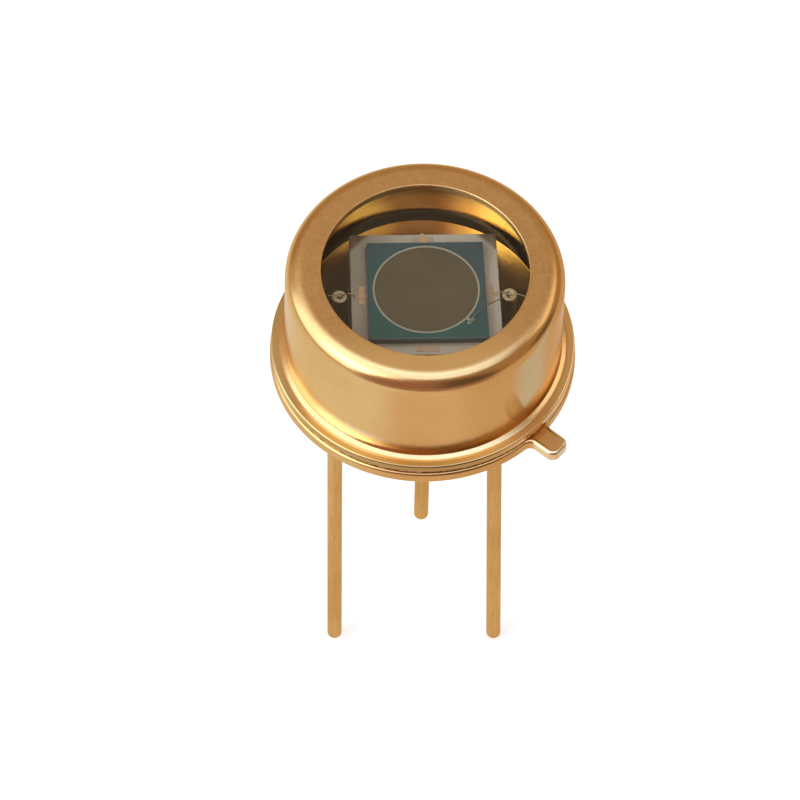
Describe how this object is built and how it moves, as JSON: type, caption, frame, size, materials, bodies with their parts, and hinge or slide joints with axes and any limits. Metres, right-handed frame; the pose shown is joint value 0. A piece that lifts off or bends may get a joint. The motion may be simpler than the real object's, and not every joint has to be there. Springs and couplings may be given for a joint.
{
  "type": "photodiode",
  "caption": "Large-area photodiode in a short round gold-plated can with a flat glass window, an index tab and straight wire leads.",
  "frame": {"origin": "centre of the seating plane under the header's flange, on the can's axis", "axes": "+Z along the can's axis towards the window, leads along -Z; the two insulated leads on -X and +X, the case lead on +Y"},
  "size_m": [0.0092, 0.0092, 0.0198],
  "materials": {
    "header_plating": "satin",
    "cap_plating": "satin",
    "lead_plating": "satin",
    "weld_metal": "matte",
    "sealing_glass": "gloss",
    "window_glass": "polished",
    "seal_material": "satin",
    "bond_material": "matte",
    "ceramic": "matte",
    "pad_metal": "satin",
    "chip_body": "polished",
    "active_area": "gloss",
    "ring_metal": "satin",
    "bond_wire": "satin"
  },
  "bodies": {
    "root": {"header_shell": "header_plating", "header_glass": "sealing_glass", "lead_left": "lead_plating", "lead_right": "lead_plating", "lead_case": "lead_plating", "cap": "cap_plating", "weld_flash": "weld_metal", "window": "window_glass", "window_seal": "seal_material", "substrate_bond": "bond_material", "substrate": "ceramic", "pad_left": "pad_metal", "pad_right": "pad_metal", "pad_front": "pad_metal", "pad_back": "pad_metal", "chip_bond": "bond_material", "chip": "chip_body", "chip_film": "active_area", "contact_ring": "ring_metal", "wire_left": "bond_wire", "wire_right": "bond_wire", "wire_chip": "bond_wire"}
  },
  "joints": []
}
